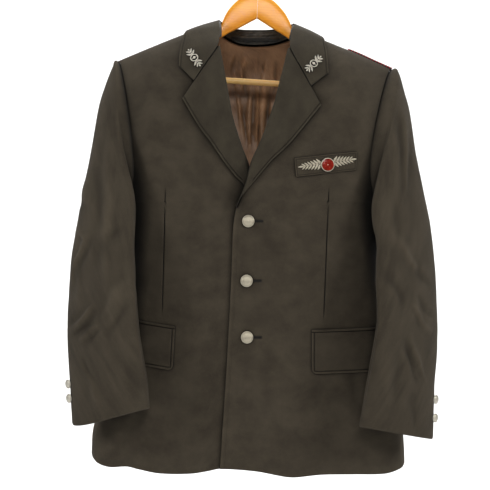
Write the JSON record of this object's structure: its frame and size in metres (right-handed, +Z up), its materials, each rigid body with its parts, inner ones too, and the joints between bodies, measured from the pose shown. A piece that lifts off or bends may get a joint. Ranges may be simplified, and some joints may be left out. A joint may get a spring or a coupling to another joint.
{
  "type": "uniform jacket on a wooden hanger",
  "caption": "Single-breasted uniform jacket with notch lapels, flap pockets, metal buttons and a leaf badge, hanging buttoned on a wooden hanger with a trouser bar.",
  "frame": {"origin": "the top of the inside of the hanger's hook, where the rail carries it", "axes": "+Z up, -Y towards the jacket's front, +X to the viewer's right as the front is seen"},
  "size_m": [0.619, 0.2001, 0.8877],
  "materials": {
    "serge": "matt wool serge, dark warm grey",
    "lining": "brown satin lining",
    "neck_band": "black woven band",
    "braid": "maroon and black cord edging",
    "silver": "polished, slightly warm silver",
    "enamel": "red enamel",
    "arm_wood": "clear varnish, honey coloured",
    "bar_wood": "plain turned wood",
    "wire": "bright plated wire"
  },
  "bodies": {
    "root": {"back_left": "serge", "back_lining": "lining", "back_right": "serge", "badge_boss": "enamel", "breast_badge": "silver", "breast_welt": "serge", "button_1": "silver", "button_2": "silver", "button_3": "silver", "collar": "serge", "collar_pin_left": "silver", "collar_pin_right": "silver", "collar_stand": "neck_band", "cuff_button_left_1": "silver", "cuff_button_left_2": "silver", "cuff_button_right_1": "silver", "cuff_button_right_2": "silver", "front_left": "serge", "front_right": "serge", "hanger_bar": "bar_wood", "hanger_hook": "wire", "hanger_left": "arm_wood", "hanger_loop": "neck_band", "hanger_right": "arm_wood", "lapel_left": "serge", "lapel_right": "serge", "pocket_flap_left": "serge", "pocket_flap_right": "serge", "pocket_jet_left": "serge", "pocket_jet_right": "serge", "shoulder_braid": "braid", "sleeve_top_left": "serge", "sleeve_top_right": "serge", "sleeve_under_left": "serge", "sleeve_under_right": "serge"}
  },
  "joints": []
}
